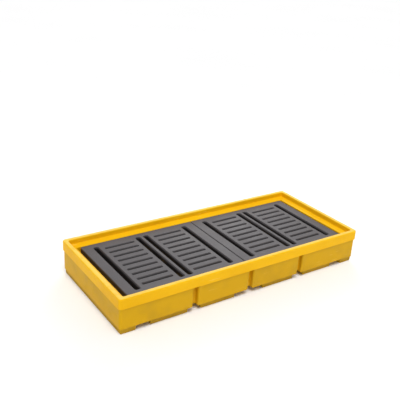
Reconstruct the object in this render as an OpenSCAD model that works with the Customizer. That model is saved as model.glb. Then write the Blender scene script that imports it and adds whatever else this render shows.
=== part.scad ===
// Spill containment pallet: a long, low sump moulded in one piece, with two
// loose grates that form the deck on which containers stand.
// Millimetres. +X runs along the length, +Y to the back, +Z up.
// The origin lies on the ground, under the middle of the sump.

/* [Sump] */
// Length over the rim
sump_l = 1800; // [1700:10:2000]
// Depth over the rim, front to back
sump_w = 790; // [760:10:900]
// Height from the ground to the top of the rim
sump_h = 233; // [225:1:280]
// Thickness of the moulded skin
skin = 6; // [4:0.5:8]
// Plan radius of the upright outer corners
corner_r = 20; // [12:1:30]

/* [Rim] */
// Height of the thick band that forms the rim
band_h = 67; // [50:1:75]
// Distance by which the band stands out from the wall below it
band_step = 6; // [4:1:14]
// Distance by which the band's face leans in towards its top
band_lean = 1; // [0:1:10]
// Width of the rim at its foot, from the outer edge to the inner face
rim_w = 30; // [28:1:36]
// Radius of the rim's two rounded top edges
rim_r = 10; // [6:1:10]

/* [Ledge and seat] */
// Depth of the deck's walking surface below the rim
deck_drop = 45; // [38:1:50]
// Distance from the rim's outer edge to the inner lip of the ledge
ledge_w = 67; // [64:1:80]
// Height that the ledge falls on its way in
ledge_fall = 9; // [4:1:12]
// Width of the grate seat along the front and the back
seat_side = 18; // [14:1:24]
// Width of the grate seat at each end
seat_end = 45; // [40:1:50]

/* [Feet] */
// Height of the runner feet
foot_h = 32; // [24:1:40]
// Distance of the inner runners' front and back faces behind the wall above
foot_recess = 10; // [5:1:12]
// Distance of the end runners' outer faces behind the wall above
end_recess = 5; // [3:1:12]
// Width of each of the four inner runners
foot_w = 250; // [200:2:256]
// Width of the channel under the middle
channel_mid = 218; // [180:2:240]
// Width of the other channels between runners
channel_side = 89; // [80:1:110]
// Distance by which a runner's flanks draw in towards the ground
foot_draft = 3; // [0:1:5]

/* [Grooves] */
// Width of the upright grooves in the long walls
groove_w = 34; // [28:1:38]
// Depth of the grooves
groove_depth = 33; // [26:1:44]
// Chamfer on the grooves' outer edges
groove_edge = 9; // [2:1:12]

/* [Deck supports] */
// Diameter of a support post at the floor
post_base_d = 84; // [70:1:90]
// Diameter of a support post under the deck
post_top_d = 62; // [50:1:68]
// Distance between posts across the sump
post_pitch = 200; // [160:5:220]

/* [Grates] */
// Length of one grate
grate_l = 812; // [780:1:815]
// Gap between the two grates
grate_gap = 4; // [2:1:8]
// Distance by which the deck lies off centre, towards +X
deck_shift = 6; // [-8:1:8]
// Free play between a grate and the wall along each side
grate_play = 3; // [2:1:6]
// Height of a grate
grate_h = 45; // [38:1:50]
// Thickness of a grate's top
grate_top = 6; // [5:0.5:8]
// Thickness of a grate's walls and ribs
grate_wall = 5; // [4:0.5:7]
// Chamfer round a grate's top edge
grate_edge = 5; // [2:1:8]

/* [Slots] */
// Width of the slots that run across the deck
cross_slot_w = 28; // [18:1:30]
// Distance from a grate's end to the middle of its outer cross slot
cross_slot_end = 83; // [70:1:90]
// Distance between the two middle cross slots
cross_slot_pair = 56; // [50:1:70]
// Plain border beyond the ends of the cross slots
cross_slot_margin = 44; // [36:1:60]
// Width of the slots that run along the deck
long_slot_w = 12; // [10:1:22]
// Length of those slots
long_slot_l = 202; // [180:2:210]
// Distance from the middle of a grate to the middle of those slots
long_slot_x = 175; // [165:1:180]
// Distance between neighbouring rows of them
long_slot_pitch = 60; // [50:1:62]
// Rows of them in each panel
long_slot_rows = 9; // [7:2:9]
// Extra width of every slot at the deck's surface, on each flank
slot_flare = 5; // [0:1:6]
// Depth over which a slot narrows to its own width
slot_flare_h = 12; // [8:1:20]

/* [Hidden] */
$fn = 64;
over = 1;

sump_color = [0.95, 0.75, 0.12];
grate_color = [0.36, 0.36, 0.37];

// levels
deck_z = sump_h - deck_drop;
seat_z = deck_z - grate_h;
band_z = sump_h - band_h;
floor_z = foot_h + skin;

// half sizes in plan, [along, across]
outer_half = [sump_l / 2, sump_w / 2];
wall_half = outer_half - [band_step, band_step];
foot_half = wall_half - [foot_recess, foot_recess];
end_half = wall_half - [end_recess, end_recess];
rim_half = outer_half - [rim_w, rim_w];
lip_half = outer_half - [ledge_w, ledge_w];
basin_half = lip_half - [seat_end, seat_side];

// runners: [inner edge, outer edge] on the +X side
inner_run = [channel_mid / 2, channel_mid / 2 + foot_w];
outer_run = inner_run + [foot_w + channel_side, foot_w + channel_side];
end_run = [outer_run[1] + channel_side, end_half[0]];
groove_x = inner_run[1] + channel_side / 2;

// the band's sloping face, and the circle that rounds its top
lean_angle = atan(band_lean / band_h);
round_z = sump_h - rim_r;
round_inset = band_lean * (band_h - rim_r) / band_h + rim_r / cos(lean_angle);

grate_w = 2 * (lip_half[1] - grate_play);
cross_slot_l = grate_w - 2 * cross_slot_margin;
cross_slot_x = [
    -grate_l / 2 + cross_slot_end,
    -cross_slot_pair / 2,
    cross_slot_pair / 2,
    grate_l / 2 - cross_slot_end
];

// Block with rounded upright corners, from z0 to z1
module slab(half, r, z0, z1) {
    translate([0, 0, z0]) linear_extrude(z1 - z0) {
        square([2 * half[0] - 2 * r, 2 * half[1]], center = true);
        square([2 * half[0], 2 * half[1] - 2 * r], center = true);
        for (x = [-1, 1], y = [-1, 1])
            translate([x * (half[0] - r), y * (half[1] - r)]) circle(r);
    }
}

// Block between x0 and x1 that reaches y_half to the front and the back
module runner(x0, x1, y_half, z0, z1) {
    translate([x0, -y_half, z0]) cube([x1 - x0, 2 * y_half, z1 - z0]);
}

// Extrudes an upright profile along X, or along Y, centred on the origin
module along_x(length) {
    rotate([90, 0, 90]) translate([0, 0, -length / 2]) linear_extrude(length) children();
}
module along_y(length) {
    rotate([90, 0, 0]) translate([0, 0, -length / 2]) linear_extrude(length) children();
}

// Upright section through the band, for a rim of the given half size
module band_profile(half) {
    x_round = half - round_inset;
    tangent = [x_round + rim_r * cos(lean_angle), round_z + rim_r * sin(lean_angle)];
    polygon([
        [-half, band_z], [half, band_z], tangent, [x_round, sump_h],
        [-x_round, sump_h], [-tangent[0], tangent[1]]
    ]);
    for (s = [-1, 1]) translate([s * x_round, round_z]) circle(rim_r);
}

// Solid band with its leaning faces, before the inside is taken out
module band() {
    intersection() {
        slab(outer_half, corner_r, band_z, sump_h);
        along_y(2 * sump_w) band_profile(outer_half[0]);
        along_x(2 * sump_l) band_profile(outer_half[1]);
    }
}

// Upright section through the opening of the rim, with rounded inner edges
module opening_profile(half) {
    top = sump_h + over;
    difference() {
        translate([-half - rim_r, deck_z]) square([2 * half + 2 * rim_r, top - deck_z]);
        for (s = [-1, 1]) {
            translate([s * (half + rim_r), round_z]) circle(rim_r);
            translate([s * (half + rim_r) - rim_r, 0]) square([2 * rim_r, round_z]);
        }
    }
}

// Upright section through the sloping ledge's clear space
module ledge_profile(lip, rim) {
    polygon([
        [-lip, deck_z], [lip, deck_z], [rim, deck_z + ledge_fall],
        [rim, round_z], [-rim, round_z], [-rim, deck_z + ledge_fall]
    ]);
}

// Everything open from above: rim, ledge, pocket for the grates and basin
module inside() {
    intersection() {
        along_y(2 * sump_w) opening_profile(rim_half[0]);
        along_x(2 * sump_l) opening_profile(rim_half[1]);
        translate([0, 0, deck_z + ledge_fall]) linear_extrude(deck_drop)
            square([2 * (rim_half[0] + rim_r), 2 * (rim_half[1] + rim_r)], center = true);
    }
    intersection() {
        along_y(2 * sump_w) ledge_profile(lip_half[0], rim_half[0]);
        along_x(2 * sump_l) ledge_profile(lip_half[1], rim_half[1]);
    }
    slab(lip_half, corner_r / 2, seat_z, deck_z + over);
    slab(basin_half, corner_r, floor_z, seat_z + over);
    for (s = [-1, 1], run = [inner_run, outer_run]) {
        x0 = min(s * run[0], s * run[1]) + skin;
        x1 = max(s * run[0], s * run[1]) - skin;
        runner(x0, x1, basin_half[1], skin, floor_z + over);
    }
}

// Tapered runner that reaches y_half to the front and the back
module foot(x0, x1, y_half) {
    along_y(2 * y_half) polygon([
        [x0, foot_h + over], [x1, foot_h + over],
        [x1 - foot_draft, 0], [x0 + foot_draft, 0]
    ]);
}

// All six runners; the two at the ends have rounded outer corners
module feet() {
    for (s = [-1, 1], run = [inner_run, outer_run])
        foot(min(s * run[0], s * run[1]), max(s * run[0], s * run[1]), foot_half[1]);
    intersection() {
        slab(end_half, corner_r / 2, 0, foot_h + over);
        for (s = [-1, 1])
            foot(min(s * end_run[0], s * end_run[1]), max(s * end_run[0], s * end_run[1]), sump_w);
    }
}

// Plan outline of a groove in the front wall
module groove_outline(grow) {
    half = groove_w / 2 + grow;
    y_face = -wall_half[1];
    polygon([
        [-half - groove_edge - over, y_face - over], [half + groove_edge + over, y_face - over],
        [half, y_face + groove_edge], [half, y_face + groove_depth + grow],
        [-half, y_face + groove_depth + grow], [-half, y_face + groove_edge]
    ]);
}

// All six grooves, three in each long wall
module grooves(grow, z0, z1) {
    for (x = [-groove_x, 0, groove_x], front = [0, 1])
        mirror([0, front, 0]) translate([x, 0, z0]) linear_extrude(z1 - z0)
            groove_outline(grow);
}

// Sealed hollow between the outer wall and the basin wall
module wall_hollow() {
    in = [skin, skin];
    difference() {
        union() {
            slab(wall_half - in, corner_r - skin, floor_z, deck_z - skin);
            for (s = [-1, 1]) {
                x0 = min(s * end_run[0], s * end_run[1]) + skin;
                x1 = max(s * end_run[0], s * end_run[1]) - skin;
                runner(x0, x1, end_half[1] - skin, skin, floor_z + over);
                for (run = [inner_run, outer_run], side = [-1, 1]) {
                    f0 = min(s * run[0], s * run[1]) + skin;
                    y0 = side > 0 ? basin_half[1] + skin : -foot_half[1] + skin;
                    depth = foot_half[1] - basin_half[1] - 2 * skin;
                    translate([f0, y0, skin]) cube([foot_w - 2 * skin, depth, floor_z]);
                }
            }
        }
        slab(basin_half + in, corner_r, floor_z - over, seat_z);
        slab(lip_half + in, corner_r, seat_z - skin, sump_h);
        grooves(skin, 0, sump_h);
    }
}

// Support posts: one row of three under each grate's middle and under the joint
module posts(d0, d1, z0, z1) {
    for (x = [-groove_x, 0, groove_x], row = [-1, 0, 1])
        translate([x, row * post_pitch, z0]) cylinder(h = z1 - z0, d1 = d0, d2 = d1);
}

module sump() {
    color(sump_color) difference() {
        union() {
            difference() {
                union() {
                    band();
                    slab(wall_half, corner_r - band_step / 2, foot_h, band_z + over);
                    feet();
                }
                inside();
                grooves(0, foot_h - over, band_z);
                wall_hollow();
            }
            posts(post_base_d, post_top_d, foot_h, seat_z);
        }
        posts(post_base_d - 2 * skin, post_top_d - 2 * skin, foot_h - over, seat_z - skin);
    }
}

// One slot, widened towards the top along both flanks
module slot(length, width) {
    top = grate_h + over;
    translate([0, 0, top / 2]) cube([length, width, top + 2 * over], center = true);
    along_x(length) polygon([
        [-width / 2, grate_h - slot_flare_h], [width / 2, grate_h - slot_flare_h],
        [width / 2 + slot_flare, grate_h], [width / 2 + slot_flare, top],
        [-width / 2 - slot_flare, top], [-width / 2 - slot_flare, grate_h]
    ]);
}

// Puts its child at every slot: those across the deck, or those along it
module at_cross_slots() {
    for (x = cross_slot_x) translate([x, 0, 0]) rotate([0, 0, 90]) children();
}
module at_long_slots() {
    last = (long_slot_rows - 1) / 2;
    for (x = [-long_slot_x, long_slot_x], row = [-last : last])
        translate([x, row * long_slot_pitch, 0]) children();
}

// Wall round a slot, below the deck's top
module collar(length, width) {
    wall = 2 * grate_wall;
    translate([0, 0, grate_h / 2]) cube([length + wall, width + wall, grate_h - over], center = true);
}

// Section of a grate's outline with its chamfered top edges
module grate_profile(half) {
    polygon([
        [-half, 0], [half, 0], [half, grate_h - grate_edge], [half - grate_edge, grate_h],
        [-half + grate_edge, grate_h], [-half, grate_h - grate_edge]
    ]);
}

// Ribs under the deck: across it at the ends of the long slots, and along it
// between every second pair of their rows
module ribs() {
    rib_x = (long_slot_l + grate_wall) / 2;
    for (panel = [-long_slot_x, long_slot_x], end = [-rib_x, rib_x])
        translate([panel + end, 0, grate_h / 2])
            cube([grate_wall, grate_w - over, grate_h - over], center = true);
    for (bar = [-4.5, -2.5, -0.5, 0.5, 2.5, 4.5])
        translate([0, bar * long_slot_pitch, grate_h / 2])
            cube([grate_l - over, grate_wall, grate_h - over], center = true);
}

// Moulded grate: a slotted top over walls that ring every slot
module grate() {
    half = [grate_l / 2, grate_w / 2];
    in = [grate_wall, grate_wall];
    difference() {
        intersection() {
            slab(half, corner_r / 2, 0, grate_h);
            along_y(2 * grate_w) grate_profile(half[0]);
            along_x(2 * grate_l) grate_profile(half[1]);
            union() {
                translate([0, 0, grate_h - grate_top]) linear_extrude(grate_top)
                    square([grate_l, grate_w], center = true);
                difference() {
                    slab(half, corner_r / 2, 0, grate_h);
                    slab(half - in, corner_r / 2 - 1, -over, grate_h - grate_top);
                }
                at_cross_slots() collar(cross_slot_l, cross_slot_w);
                at_long_slots() collar(long_slot_l, long_slot_w);
                ribs();
            }
        }
        at_cross_slots() slot(cross_slot_l, cross_slot_w);
        at_long_slots() slot(long_slot_l, long_slot_w);
    }
}

// Middle of a grate on its side of the joint between them
function grate_x(side) = deck_shift + side * (grate_l + grate_gap) / 2;

module grate_left() {
    color(grate_color) translate([grate_x(-1), 0, seat_z]) grate();
}

module grate_right() {
    color(grate_color) translate([grate_x(1), 0, seat_z]) grate();
}

sump();
grate_left();
grate_right();
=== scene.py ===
"""Looks of the spill containment pallet: a yellow moulded sump with two loose grey grates."""

import math

import bmesh
import bpy
from mathutils import Matrix, Vector


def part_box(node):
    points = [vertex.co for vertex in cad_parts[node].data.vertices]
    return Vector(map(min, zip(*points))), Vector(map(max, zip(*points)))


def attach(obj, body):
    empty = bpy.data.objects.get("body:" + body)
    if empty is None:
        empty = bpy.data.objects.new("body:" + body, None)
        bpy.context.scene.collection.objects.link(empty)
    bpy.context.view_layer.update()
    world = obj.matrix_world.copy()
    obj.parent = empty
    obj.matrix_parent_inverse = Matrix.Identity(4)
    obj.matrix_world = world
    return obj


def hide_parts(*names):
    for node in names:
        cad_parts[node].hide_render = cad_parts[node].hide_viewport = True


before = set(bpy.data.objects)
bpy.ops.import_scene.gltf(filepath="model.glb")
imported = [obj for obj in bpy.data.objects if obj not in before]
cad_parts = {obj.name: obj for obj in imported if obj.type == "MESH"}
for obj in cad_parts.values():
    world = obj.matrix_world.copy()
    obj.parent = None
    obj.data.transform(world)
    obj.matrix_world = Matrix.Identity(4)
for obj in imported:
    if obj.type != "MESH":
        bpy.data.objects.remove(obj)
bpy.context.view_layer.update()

# ------------------------------------------------------------------ the sump
# All in metres. The outer sizes come from the frame, the rest are the moulding's own.
SUMP_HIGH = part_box("sump")[1]
SUMP_TOP = SUMP_HIGH.z
OUTER = (SUMP_HIGH.x, SUMP_HIGH.y)  # half sizes over the rim

SKIN = 0.006
CORNER_R = 0.020
BAND_H = 0.067
BAND_STEP = 0.006
BAND_LEAN = 0.001
RIM_W = 0.030
RIM_R = 0.0105
RIM_CORNER_R = 0.016
DECK_DROP = 0.045
LEDGE_W = 0.067
LEDGE_FALL = 0.009
SEAT_SIDE = 0.018
SEAT_END = 0.045
FOOT_H = 0.032
FOOT_RECESS = 0.010
END_RECESS = 0.005
FOOT_W = 0.250
FOOT_DRAFT = 0.003
FOOT_R = 0.006
END_FOOT_R = 0.010
CHANNEL_MID = 0.218
CHANNEL_SIDE = 0.089
GROOVE_W = 0.034
GROOVE_DEPTH = 0.033
GROOVE_R = 0.009
POST_R = 0.0414
POST_TAPER = 0.0104
POST_PITCH = 0.200
TROUGH_DRAFT = 0.004
TROUGH_MARGIN = 0.016
TROUGH_R = 0.014

DECK_Z = SUMP_TOP - DECK_DROP
SEAT_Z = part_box("grate_left")[0].z
BAND_Z = SUMP_TOP - BAND_H
FLOOR_Z = FOOT_H + SKIN


def inset(half, along, across=None):
    """Half sizes in plan, drawn in from the ends and from the sides."""
    return (half[0] - along, half[1] - (along if across is None else across))


WALL = inset(OUTER, BAND_STEP)
FOOT = inset(WALL, FOOT_RECESS)
END_FOOT = inset(WALL, END_RECESS)
BASIN = inset(OUTER, LEDGE_W + SEAT_END, LEDGE_W + SEAT_SIDE)

# where each pair of runners starts and ends along the sump, from its middle
INNER_RUN = (CHANNEL_MID / 2, CHANNEL_MID / 2 + FOOT_W)
OUTER_RUN = (INNER_RUN[1] + CHANNEL_SIDE, INNER_RUN[1] + CHANNEL_SIDE + FOOT_W)
END_RUN = (OUTER_RUN[1] + CHANNEL_SIDE, END_FOOT[0])

GROOVE_X = INNER_RUN[1] + CHANNEL_SIDE / 2
POST_X = (-GROOVE_X, 0.0, GROOVE_X)  # grooves in the walls and rows of posts alike
POSTS = [(x, row * POST_PITCH) for x in POST_X for row in (-1, 0, 1)]

# ------------------------------------------------------------------- a grate
# Measured from its own middle and underside.
GRATE_H = DECK_Z - SEAT_Z
GRATE_SKIN = 0.006
GRATE_WALL = 0.005
GRATE_R = 0.010
CROSS_SLOT = (0.028, 0.562)  # width along the deck, length across it
CROSS_SLOT_X = (-0.323, -0.028, 0.028, 0.323)
LONG_SLOT = (0.202, 0.012)  # length along the deck, width across it
LONG_SLOT_X = (-0.175, 0.175)
LONG_SLOT_PITCH = 0.060
LONG_SLOT_ROWS = 9
RIB_ROWS = (-4.5, -2.5, -0.5, 0.5, 2.5, 4.5)  # ribs along the grate, in pitches of the slots
SLOT_FLARE = 0.005
SLOT_END_SHARE = 0.4  # flare at a slot's ends, as a share of that on its flanks
SLOT_FLARE_H = 0.012
SLOT_ROUNDING = 0.8  # corner radius of a slot, as a share of half its width
COLLAR_R = 0.004

# -------------------------------------------------------------------- meshes
CORNER_STEPS = 7  # chords in the quarter turn of a plan's corner
GROOVE_STEPS = 6  # the same, at the mouth and root of a groove
CIRCLE_STEPS = 40
ARC_DEGREES = 18  # longest chord of a profile's rounding
MIN_RADIUS = 0.0005
WELD = 2e-5
SHARP_DEGREES = 38
FLAT_WEIGHT = 100  # lets the largest face at a corner set its normal
FACE = 0.03  # run of a profile's flat end, from the edge inward
OVERLAP = 0.02  # how far a solid runs past the face that it joins or cuts
SLIVER = 0.0003  # lift that keeps a rounded mouth from lying in the face it opens on


# A solid is a plan outline that grows or shrinks as it rises. Its profile is a
# list of corners (growth, height) or (growth, height, radius to round it with).
def rounded(*corners):
    """The profile's points, with each corner that has a radius turned into an arc."""
    points = []
    for k, corner in enumerate(corners):
        here = Vector(corner[:2])
        if len(corner) == 2:
            points.append(tuple(here))
            continue
        back = (Vector(corners[k - 1][:2]) - here).normalized()
        ahead = (Vector(corners[k + 1][:2]) - here).normalized()
        opening = back.angle(ahead)
        centre = here + (back + ahead).normalized() * (corner[2] / math.sin(opening / 2))
        reach = corner[2] / math.tan(opening / 2)
        start = here + back * reach - centre
        turn = start.angle_signed(here + ahead * reach - centre)
        steps = max(2, math.ceil(abs(math.degrees(turn)) / ARC_DEGREES))
        for i in range(steps + 1):
            a = -turn * i / steps
            points.append((
                centre.x + start.x * math.cos(a) - start.y * math.sin(a),
                centre.y + start.x * math.sin(a) + start.y * math.cos(a),
            ))
    return points


def straight(bottom, top):
    """Profile of a solid with upright sides."""
    return ((0.0, bottom), (0.0, top))


def box_plan(half, radius, centre=(0.0, 0.0), share=(1.0, 1.0)):
    """Plan of a rectangle with rounded corners, as a function of its growth.

    Share is how much of the growth goes to each of the two half sizes.
    """
    def outline(grow):
        wide = (half[0] + grow * share[0], half[1] + grow * share[1])
        r = max(radius + grow * min(share), MIN_RADIUS)
        points = []
        for k, (sx, sy) in enumerate(((1, 1), (-1, 1), (-1, -1), (1, -1))):
            cx = centre[0] + sx * (wide[0] - r)
            cy = centre[1] + sy * (wide[1] - r)
            for i in range(CORNER_STEPS + 1):
                a = math.radians(90 * (k + i / CORNER_STEPS))
                points.append((cx + r * math.cos(a), cy + r * math.sin(a)))
        return points
    return outline


def round_plan(radius, centre):
    """Plan of a circle, as a function of its growth."""
    def outline(grow):
        turns = [2 * math.pi * i / CIRCLE_STEPS for i in range(CIRCLE_STEPS)]
        r = radius + grow
        return [(centre[0] + r * math.cos(a), centre[1] + r * math.sin(a)) for a in turns]
    return outline


def groove_plan(x, side):
    """Plan of one upright groove in a long wall, with rounded mouth and root."""
    turns = [math.radians(90 * i / GROOVE_STEPS) for i in range(GROOVE_STEPS + 1)]
    arc = [(GROOVE_R * (1 - math.sin(a)), GROOVE_R * (1 - math.cos(a))) for a in turns]

    def outline(grow):
        face, half = WALL[1], GROOVE_W / 2 + grow
        back = face - GROOVE_DEPTH - grow
        right = [(half + GROOVE_R, face + BAND_STEP)]
        right += [(half + dx, face - dy) for dx, dy in arc]
        right += [(half - dx, back + dy) for dy, dx in arc]
        left = [(-px, py) for px, py in reversed(right)]
        points = [(x + px, side * py) for px, py in right + left]
        return list(reversed(points)) if side > 0 else points
    return outline


def run_plan(run, side, across, radius):
    """Plan of a runner, or of the trough in it, on one side of the middle."""
    return box_plan(((run[1] - run[0]) / 2, across), radius, (side * (run[0] + run[1]) / 2, 0))


def solid(name, *parts):
    """Object made of separate closed solids, each a (plan, profile points) pair."""
    bm = bmesh.new()
    for plan, profile in parts:
        rings = [[bm.verts.new((x, y, z)) for x, y in plan(grow)] for grow, z in profile]
        count = len(rings[0])
        for low, high in zip(rings, rings[1:]):
            for i in range(count):
                j = (i + 1) % count
                bm.faces.new((low[i], low[j], high[j], high[i]))
        bm.faces.new(list(reversed(rings[0])))
        bm.faces.new(rings[-1])
    mesh = bpy.data.meshes.new(name)
    bm.to_mesh(mesh)
    bm.free()
    made = bpy.data.objects.new(name, mesh)
    bpy.context.scene.collection.objects.link(made)
    return made


def bake_modifiers(target):
    """Replaces the mesh by what its modifiers make of it."""
    graph = bpy.context.evaluated_depsgraph_get()
    made = bpy.data.meshes.new_from_object(target.evaluated_get(graph))
    target.modifiers.clear()
    target.data = made


def combine(target, tool, operation):
    """Adds tool to target, or cuts it out, and removes tool."""
    step = target.modifiers.new("combine", "BOOLEAN")
    step.operation = operation
    step.solver = "MANIFOLD"
    step.object = tool
    bake_modifiers(target)
    bpy.data.objects.remove(tool)


def join(target, name, *parts):
    """Adds solids to target."""
    combine(target, solid(name, *parts), "UNION")


def cut(target, name, *parts):
    """Cuts solids out of target."""
    combine(target, solid(name, *parts), "DIFFERENCE")


def finish_mesh(target, material, shift=(0, 0, 0)):
    """Cleans the mesh and shades it smooth, with flat faces kept flat."""
    bm = bmesh.new()
    bm.from_mesh(target.data)
    bmesh.ops.remove_doubles(bm, verts=bm.verts, dist=WELD)
    bmesh.ops.dissolve_degenerate(bm, edges=bm.edges, dist=WELD)
    bmesh.ops.translate(bm, verts=bm.verts, vec=shift)
    for face in bm.faces:
        face.smooth = True
    for edge in bm.edges:
        edge.smooth = edge.calc_face_angle(0.0) < math.radians(SHARP_DEGREES)
    bm.to_mesh(target.data)
    bm.free()
    weighted = target.modifiers.new("weighted_normals", "WEIGHTED_NORMAL")
    weighted.keep_sharp = True
    weighted.weight = FLAT_WEIGHT
    bake_modifiers(target)
    target.data.materials.clear()
    target.data.materials.append(material)


# -------------------------------------------------------- shapes of the sump
# A flare is how far a rounded mouth runs out over the face that it opens on.
def sump_walls():
    """The tub below the band, still solid, with a flange round the band's foot."""
    foot_r, fillet = 0.005, 0.003
    profile = rounded((-FACE, FOOT_H), (0, FOOT_H, foot_r), (0, BAND_Z, fillet),
                      (BAND_STEP, BAND_Z + SLIVER), (BAND_STEP, BAND_Z + OVERLAP))
    return solid("sump_moulding", (box_plan(WALL, CORNER_R - BAND_STEP / 2), profile))


def cut_grooves(sump):
    """Upright grooves in both long walls."""
    foot_r, flare = 0.005, 0.008
    profile = rounded((flare, FOOT_H - SLIVER), (0, FOOT_H, foot_r), (0, BAND_Z + 2 * OVERLAP))
    cut(sump, "grooves", *[(groove_plan(x, side), profile) for x in POST_X for side in (-1, 1)])


def add_band(sump):
    """The thick band that forms the rim, still solid."""
    foot_r = 0.004
    profile = rounded((-FACE, BAND_Z), (0, BAND_Z, foot_r), (-BAND_LEAN, SUMP_TOP, RIM_R),
                      (-FACE, SUMP_TOP))
    join(sump, "band", (box_plan(OUTER, CORNER_R), profile))


def add_feet(sump):
    """Six runners across the sump, three on each side of its middle."""
    foot_r, fillet, flare = 0.003, 0.0025, 0.0035
    profile = rounded((-FACE, 0), (-FOOT_DRAFT, 0, foot_r), (0, FOOT_H, fillet),
                      (flare, FOOT_H + SLIVER), (flare, FOOT_H + OVERLAP))
    shapes = ((INNER_RUN, FOOT[1], FOOT_R), (OUTER_RUN, FOOT[1], FOOT_R),
              (END_RUN, END_FOOT[1], END_FOOT_R))
    join(sump, "feet", *[(run_plan(run, side, across, radius), profile)
                         for run, across, radius in shapes for side in (-1, 1)])


def cut_opening(sump):
    """The space inside the rim: down the ledge and on to the seat of the grates."""
    seat_r, lip_r, ledge_r, flare = 0.003, 0.005, 0.006, 0.020
    profile = rounded((-LEDGE_W - FACE, SEAT_Z), (-LEDGE_W, SEAT_Z, seat_r),
                      (-LEDGE_W, DECK_Z, lip_r), (-RIM_W, DECK_Z + LEDGE_FALL, ledge_r),
                      (-RIM_W, SUMP_TOP, RIM_R), (flare - RIM_W, SUMP_TOP + SLIVER),
                      (flare - RIM_W, SUMP_TOP + OVERLAP))
    cut(sump, "opening", (box_plan(OUTER, RIM_W + RIM_CORNER_R), profile))


def cut_basin(sump):
    """The space for the liquid, down to the floor."""
    floor_r, mouth_r, flare = 0.010, 0.005, 0.010
    profile = rounded((-FACE, FLOOR_Z), (0, FLOOR_Z, floor_r), (0, SEAT_Z, mouth_r),
                      (flare, SEAT_Z + SLIVER))
    cut(sump, "basin", (box_plan(BASIN, CORNER_R), profile))


def cut_troughs(sump):
    """The hollows of the four wide runners, below the basin's floor."""
    floor_r, mouth_r, flare = 0.008, 0.005, 0.0065
    profile = rounded((-FACE, SKIN), (-TROUGH_DRAFT, SKIN, floor_r), (0, FLOOR_Z, mouth_r),
                      (flare, FLOOR_Z + SLIVER))
    runs = [(start + SKIN, end - SKIN) for start, end in (INNER_RUN, OUTER_RUN)]
    cut(sump, "troughs", *[(run_plan(run, side, BASIN[1] - TROUGH_MARGIN, TROUGH_R), profile)
                           for run in runs for side in (-1, 1)])


def add_posts(sump):
    """Tapered posts on the basin's floor."""
    foot_r, top_r, flare = 0.005, 0.006, 0.007
    profile = rounded((flare, FLOOR_Z - SLIVER), (0, FLOOR_Z, foot_r),
                      (-POST_TAPER, SEAT_Z, top_r), (-FACE, SEAT_Z))
    join(sump, "posts", *[(round_plan(POST_R, at), profile) for at in POSTS])


def hollow_posts(sump):
    """The inside of each post, open below."""
    mouth_r, top_r, flare = 0.004, 0.005, 0.007
    ceiling = SEAT_Z - SKIN
    profile = rounded((flare, FOOT_H - SLIVER), (0, FOOT_H, mouth_r),
                      (-POST_TAPER, ceiling, top_r), (-FACE, ceiling))
    cut(sump, "hollows", *[(round_plan(POST_R - SKIN, at), profile) for at in POSTS])


def make_sump(material):
    sump = sump_walls()
    for shape in (cut_grooves, add_band, add_feet, cut_opening, cut_basin, cut_troughs,
                  add_posts, hollow_posts):
        shape(sump)
    finish_mesh(sump, material)
    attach(sump, "sump")
    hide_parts("sump")


# ------------------------------------------------------ shapes of the grates
def slot_list():
    """(half size, centre, share of the flare along and across) of every slot in a grate."""
    slots = [((CROSS_SLOT[0] / 2, CROSS_SLOT[1] / 2), (x, 0.0), (1.0, SLOT_END_SHARE))
             for x in CROSS_SLOT_X]
    last = (LONG_SLOT_ROWS - 1) / 2
    for x in LONG_SLOT_X:
        for row in range(LONG_SLOT_ROWS):
            slots.append(((LONG_SLOT[0] / 2, LONG_SLOT[1] / 2),
                          (x, (row - last) * LONG_SLOT_PITCH), (SLOT_END_SHARE, 1.0)))
    return slots


def grate_hollow(half):
    """The space under a grate's top, between its walls, collars and ribs."""
    corner_r, top_r = 0.006, 0.002
    ceiling = GRATE_H - GRATE_SKIN
    made = solid("under_grate", (box_plan(inset(half, GRATE_WALL), corner_r),
                                 rounded((0, -OVERLAP), (0, ceiling, top_r), (-FACE, ceiling))))
    through = straight(-2 * OVERLAP, GRATE_H + OVERLAP)
    cut(made, "collars", *[(box_plan(inset(size, -GRATE_WALL), COLLAR_R, centre), through)
                           for size, centre, _ in slot_list()])
    rib_end = (LONG_SLOT[0] + GRATE_WALL) / 2
    rib_half = GRATE_WALL / 2
    cut(made, "ribs_across", *[(box_plan((rib_half, half[1]), MIN_RADIUS, (x + end, 0)), through)
                               for x in LONG_SLOT_X for end in (-rib_end, rib_end)])
    rows = [row * LONG_SLOT_PITCH for row in RIB_ROWS]
    cut(made, "ribs_along", *[(box_plan((half[0], rib_half), MIN_RADIUS, (0, y)), through)
                              for y in rows])
    return made


def cut_slots(grate):
    """Drain slots that flare out towards the top."""
    root_r, mouth_r, flare = 0.004, 0.003, 0.005
    profile = rounded((0, -OVERLAP), (0, GRATE_H - SLOT_FLARE_H, root_r),
                      (SLOT_FLARE, GRATE_H, mouth_r), (SLOT_FLARE + flare, GRATE_H + SLIVER),
                      (SLOT_FLARE + flare, GRATE_H + OVERLAP))
    cut(grate, "slots", *[(box_plan(size, min(size) * SLOT_ROUNDING, centre, share), profile)
                          for size, centre, share in slot_list()])


def make_grate(node, material):
    foot_r, edge_r = 0.0015, 0.005
    low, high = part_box(node)
    half = ((high.x - low.x) / 2, (high.y - low.y) / 2)
    outside = rounded((-FACE, 0), (0, 0, foot_r), (0, GRATE_H, edge_r), (-FACE, GRATE_H))
    grate = solid(node + "_moulding", (box_plan(half, GRATE_R), outside))
    combine(grate, grate_hollow(half), "DIFFERENCE")
    cut_slots(grate)
    finish_mesh(grate, material, ((low.x + high.x) / 2, (low.y + high.y) / 2, low.z))
    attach(grate, node)
    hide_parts(node)


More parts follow.
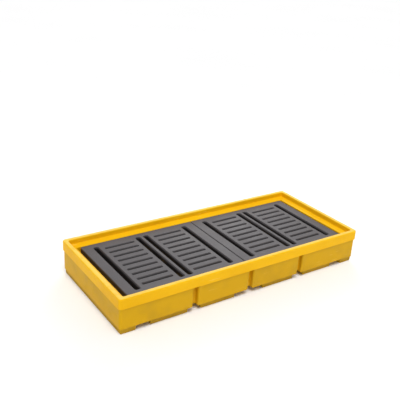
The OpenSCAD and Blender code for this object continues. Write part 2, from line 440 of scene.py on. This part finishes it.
# ----------------------------------------------------------------- materials
# Colours are linear red, green, blue and alpha. A pair is the two that noise mixes.
PLAIN_YELLOW = ((0.81, 0.43, 0.002, 1), (0.87, 0.485, 0.003, 1))
# Painted shade: the darker pair, laid on the outer walls below the band
SHADED_WALL_YELLOW = ((0.635, 0.357, 0.004, 1), (0.56, 0.318, 0.008, 1))
# Dust, and painted shade on the feet under the wall's overhang
YELLOW_DUST_AND_SHADE = (0.25, 0.15, 0.012, 1)
YELLOW_STAIN = (0.33, 0.22, 0.05, 1)
# Painted highlight: paler yellow for the top of the rim
RIM_HIGHLIGHT_YELLOW = (0.96, 0.72, 0.20, 1)
SCRATCHED_YELLOW = (0.93, 0.66, 0.16, 1)
GREY = ((0.076, 0.070, 0.074, 1), (0.096, 0.089, 0.094, 1))
GREY_FLECK = (0.15, 0.145, 0.148, 1)
# Painted shade: near black for the grate below the deck
SLOT_SHADE_GREY = (0.012, 0.010, 0.010, 1)
SCUFFED_GREY = (0.24, 0.23, 0.235, 1)
PAINT = ((0.91, 0.91, 0.91, 1), (0.94, 0.94, 0.94, 1))


class Surface:
    """A material, built up as nodes around its Principled shader."""

    def __init__(self, name, **constants):
        self.material = bpy.data.materials.new(name)
        self.material.use_nodes = True
        self.tree = self.material.node_tree
        self.shader = self.tree.nodes["Principled BSDF"]
        for socket, value in constants.items():
            self.shader.inputs[socket.replace("_", " ")].default_value = value
        self.place = self.add("ShaderNodeTexCoord").outputs["Object"]

    def add(self, kind, settings=(), **inputs):
        """New node; inputs are named by socket, and are values or other sockets."""
        made = self.tree.nodes.new(kind)
        for name, value in dict(settings).items():
            setattr(made, name, value)
        for name, value in inputs.items():
            self.feed(made.inputs[name.replace("_", " ")], value)
        return made

    def feed(self, socket, value):
        """Sets a socket to a value, or links it to another socket."""
        if isinstance(value, bpy.types.NodeSocket):
            self.tree.links.new(value, socket)
        else:
            socket.default_value = value

    def noise(self, scale, detail, place=None):
        """Noise from 0 to 1, with about scale lumps per metre."""
        return self.add("ShaderNodeTexNoise", Vector=place or self.place, Scale=scale,
                        Detail=detail).outputs["Fac"]

    def ramp(self, value, low, high, start=0.0, end=1.0):
        """Smooth step from start to end as value goes from low to high."""
        settings = {"interpolation_type": "SMOOTHSTEP"}
        return self.add("ShaderNodeMapRange", settings, Value=value, From_Min=low, From_Max=high,
                        To_Min=start, To_Max=end).outputs[0]

    def calc(self, operation, *values):
        made = self.add("ShaderNodeMath", {"operation": operation})
        for index, value in enumerate(values):
            self.feed(made.inputs[index], value)
        return made.outputs[0]

    def times(self, first, second):
        return self.calc("MULTIPLY", first, second)

    def blend(self, factor, base, cover):
        """Colour that goes from base to cover as factor goes from 0 to 1."""
        made = self.add("ShaderNodeMix", {"data_type": "RGBA"})
        for index, value in ((0, factor), (6, base), (7, cover)):  # its colour sockets
            self.feed(made.inputs[index], value)
        return made.outputs[2]

    def axis(self, source, name):
        return self.add("ShaderNodeSeparateXYZ", Vector=source).outputs[name]

    def height(self):
        return self.axis(self.place, "Z")

    def upward(self):
        """1 on faces that look up, 0 on upright ones and below."""
        facing = self.add("ShaderNodeNewGeometry").outputs["Normal"]
        return self.ramp(self.axis(facing, "Z"), 0.55, 0.9)

    def beyond(self, half):
        """How far outside an upright box of these half sizes a point lies, in metres."""
        reach = []
        for name, size in zip("XY", half):
            off_middle = self.calc("ABSOLUTE", self.axis(self.place, name))
            reach.append(self.calc("SUBTRACT", off_middle, size))
        return self.calc("MAXIMUM", *reach)

    def scratches(self):
        """Mask of fine crossed scratches, 0 to 1, patchy over the surface."""
        lines = []
        for angle, shift in ((0.35, 0.0), (-0.9, 3.1)):
            turned = self.add("ShaderNodeMapping", Vector=self.place, Rotation=(0, 0, angle),
                              Location=(shift, shift, 0), Scale=(1, 14, 14))
            streak = self.noise(9.0, 4.0, turned.outputs[0])
            lines.append(self.ramp(streak, 0.66, 0.72))
        patches = self.ramp(self.noise(4.0, 2.0), 0.45, 0.65)
        return self.times(self.calc("MAXIMUM", *lines), patches)

    def bump(self, height, distance, under=None):
        """Relief as deep as distance, on top of another relief if there is one under it."""
        made = self.add("ShaderNodeBump", Height=height, Distance=distance, Strength=1.0)
        if under is not None:
            self.feed(made.inputs["Normal"], under)
        return made.outputs[0]

    def finish(self, colour, roughness, normal):
        self.feed(self.shader.inputs["Base Color"], colour)
        self.feed(self.shader.inputs["Roughness"], roughness)
        self.feed(self.shader.inputs["Normal"], normal)
        return self.material


def yellow_with_wall_shade(skin):
    """Mottled yellow, with painted shade on the outer walls below the band: a darker mottled
    yellow there. The grooves keep the plain yellow, which paints them lighter than their shade.
    """
    plain_yellow = skin.blend(skin.ramp(skin.noise(3.0, 4.0), 0.3, 0.7), *PLAIN_YELLOW)
    painted_wall_shade = skin.blend(skin.ramp(skin.noise(6.0, 5.0), 0.42, 0.68), *SHADED_WALL_YELLOW)
    outside = skin.ramp(skin.beyond(WALL), -GROOVE_DEPTH - 0.020, -0.010)
    below = skin.ramp(skin.height(), BAND_Z - 0.004, BAND_Z + 0.002, 1.0, 0.0)
    # painted shade below the band, on the outer walls only
    return skin.blend(skin.times(outside, below), plain_yellow, painted_wall_shade)


def stains(skin):
    """Mask of what has settled on the faces of the basin that look up."""
    settled = skin.times(skin.upward(), skin.ramp(skin.height(), SEAT_Z, DECK_Z, 1.0, 0.0))
    return skin.times(settled, skin.ramp(skin.noise(7.0, 5.0), 0.4, 0.7))


def rim_painted_highlight(skin, mottle):
    """Mask of the top of the rim, where a paler yellow is painted on as a highlight."""
    top = skin.times(skin.upward(), skin.ramp(skin.height(), SUMP_TOP - 0.008, SUMP_TOP - 0.001))
    return skin.times(top, skin.ramp(mottle, 0.1, 0.7, 0.2, 0.52))


def sump_plastic():
    """Yellow polyethylene: painted shade on the walls below the band, dust and painted shade
    near the ground, a painted highlight on the rim top, stains in the basin and scratches.
    """
    skin = Surface("yellow polyethylene", IOR=1.5, Specular_IOR_Level=0.11)
    mottle = skin.noise(28.0, 3.0)
    # Darker towards the ground: dust, and painted shade on the feet under the wall's overhang
    near_ground = skin.ramp(skin.height(), 0.5 * FOOT_H, 1.4 * FOOT_H, 1.0, 0.0)
    dust_and_shade = skin.times(near_ground, skin.ramp(mottle, -0.4, 0.6))
    colour = yellow_with_wall_shade(skin)
    colour = skin.blend(skin.times(dust_and_shade, 0.62), colour, YELLOW_DUST_AND_SHADE)
    colour = skin.blend(skin.times(stains(skin), 0.35), colour, YELLOW_STAIN)
    # painted highlight on the rim top
    colour = skin.blend(rim_painted_highlight(skin, mottle), colour, RIM_HIGHLIGHT_YELLOW)
    colour = skin.blend(skin.times(skin.scratches(), 0.35), colour, SCRATCHED_YELLOW)
    rough = skin.calc("ADD", skin.ramp(mottle, 0.2, 0.8, 0.42, 0.52), skin.times(dust_and_shade, 0.15))
    orange_peel = skin.bump(skin.noise(420.0, 1.0), 0.00012)
    waves = skin.bump(skin.noise(9.0, 1.0), 0.0012, orange_peel)
    return skin.finish(colour, rough, waves)


def grate_plastic():
    """Dark grey polyethylene with a fine grain, scuffed where containers slide over it, with
    painted shade below the deck.
    """
    skin = Surface("grey polyethylene", IOR=1.5, Specular_IOR_Level=0.3)
    cloud = skin.noise(5.0, 4.0)
    flecks = skin.ramp(skin.noise(160.0, 2.0), 0.55, 0.75, 0.0, 0.35)
    # Painted shade: the grate goes nearly black below the deck, in the slots and down its sides
    painted_slot_shade = skin.ramp(skin.height(), DECK_Z - 0.013, DECK_Z - 0.002, 0.9, 0.0)
    scuffs = skin.times(skin.times(skin.scratches(), skin.upward()), 0.5)
    colour = skin.blend(skin.ramp(cloud, 0.3, 0.7), *GREY)
    colour = skin.blend(flecks, colour, GREY_FLECK)
    colour = skin.blend(painted_slot_shade, colour, SLOT_SHADE_GREY)
    colour = skin.blend(scuffs, colour, SCUFFED_GREY)
    rough = skin.ramp(cloud, 0.25, 0.75, 0.50, 0.64)
    grain = skin.bump(skin.noise(650.0, 2.0), 0.00025)
    return skin.finish(colour, rough, grain)


def floor_paint():
    """Matt, nearly white paint."""
    skin = Surface("floor paint")
    shade = skin.blend(skin.noise(0.6, 2.0), *PAINT)
    return skin.finish(shade, 0.85, skin.bump(skin.noise(90.0, 2.0), 0.0001))


# -------------------------------------------------------------------- studio
SENSOR_W = 36  # mm
LENS = 56.29  # mm
LENS_SHIFT = (-0.0251, 0.0022)
CAMERA_AT = Vector((-2.1822, -2.9275, 2.0639))
CAMERA_BEARING = math.radians(35.827)  # of the view, clockwise from +Y
CAMERA_TILT = math.radians(23.583)  # down from level
CAMERA_ROLL = math.radians(3.810)  # anticlockwise

GROUND_HALF = (60, 60)
GROUND_CORNER_R = 1.0
GROUND_BOTTOM = -0.02
GROUND_TOP = -0.0005  # just clear of the feet
HORIZON_GLOW = 1.0
OVERHEAD_GLOW = 0.42
GLOW_FADE = (0.10, 0.45)  # heights in the sky between which the glow falls off

LIT_SPOT = Vector((0, 0, 0.15))
SUN_AT = (-0.9, -1.7, 5.0)
SUN_STRENGTH = 2.15
SUN_ANGLE = math.radians(34)
BACKLIGHT_AT = (2.4, 3.3, 2.2)
BACKLIGHT_POWER = 70
BACKLIGHT_SIZE = 2.5


def make_camera():
    """Seen from the left front, a little above, as in the photograph."""
    data = bpy.data.cameras.new("camera")
    data.sensor_width = SENSOR_W
    data.lens = LENS
    data.shift_x, data.shift_y = LENS_SHIFT
    camera = bpy.data.objects.new("camera", data)
    turn = Matrix.Rotation(-CAMERA_BEARING, 4, "Z")
    lean = Matrix.Rotation(math.pi / 2 - CAMERA_TILT, 4, "X")
    roll = Matrix.Rotation(CAMERA_ROLL, 4, "Z")
    camera.matrix_world = Matrix.Translation(CAMERA_AT) @ turn @ lean @ roll
    bpy.context.scene.collection.objects.link(camera)
    bpy.context.scene.camera = camera


def lamp(kind, name, at, **settings):
    """Light of some kind, aimed at the object."""
    data = bpy.data.lights.new(name, kind)
    for key, value in settings.items():
        setattr(data, key, value)
    made = bpy.data.objects.new(name, data)
    made.location = at
    made.rotation_euler = (LIT_SPOT - Vector(at)).to_track_quat("-Z", "Y").to_euler()
    bpy.context.scene.collection.objects.link(made)


def make_surround():
    """White surround, bright along the horizon and dimmer overhead."""
    world = bpy.data.worlds.new("world")
    bpy.context.scene.world = world
    world.use_nodes = True
    tree = world.node_tree
    where = tree.nodes.new("ShaderNodeTexCoord")
    split = tree.nodes.new("ShaderNodeSeparateXYZ")
    fade = tree.nodes.new("ShaderNodeMapRange")
    light = tree.nodes["Background"]
    tree.links.new(where.outputs["Generated"], split.inputs[0])
    tree.links.new(split.outputs["Z"], fade.inputs["Value"])
    tree.links.new(fade.outputs[0], light.inputs["Strength"])
    limits = {"From Min": GLOW_FADE[0], "From Max": GLOW_FADE[1], "To Min": HORIZON_GLOW,
              "To Max": OVERHEAD_GLOW}
    for socket, value in limits.items():
        fade.inputs[socket].default_value = value
    light.inputs["Color"].default_value = (1, 1, 1, 1)


def make_studio():
    """Wide pale floor under a soft overhead light."""
    floor = solid("floor", (box_plan(GROUND_HALF, GROUND_CORNER_R),
                            straight(GROUND_BOTTOM, GROUND_TOP)))
    floor.data.materials.append(floor_paint())
    make_surround()
    lamp("SUN", "overhead", SUN_AT, energy=SUN_STRENGTH, angle=SUN_ANGLE)
    lamp("AREA", "backlight", BACKLIGHT_AT, energy=BACKLIGHT_POWER, size=BACKLIGHT_SIZE)


make_camera()
make_studio()
make_sump(sump_plastic())
grey = grate_plastic()
for node in ("grate_left", "grate_right"):
    make_grate(node, grey)
bpy.context.scene.view_settings.view_transform = "Standard"
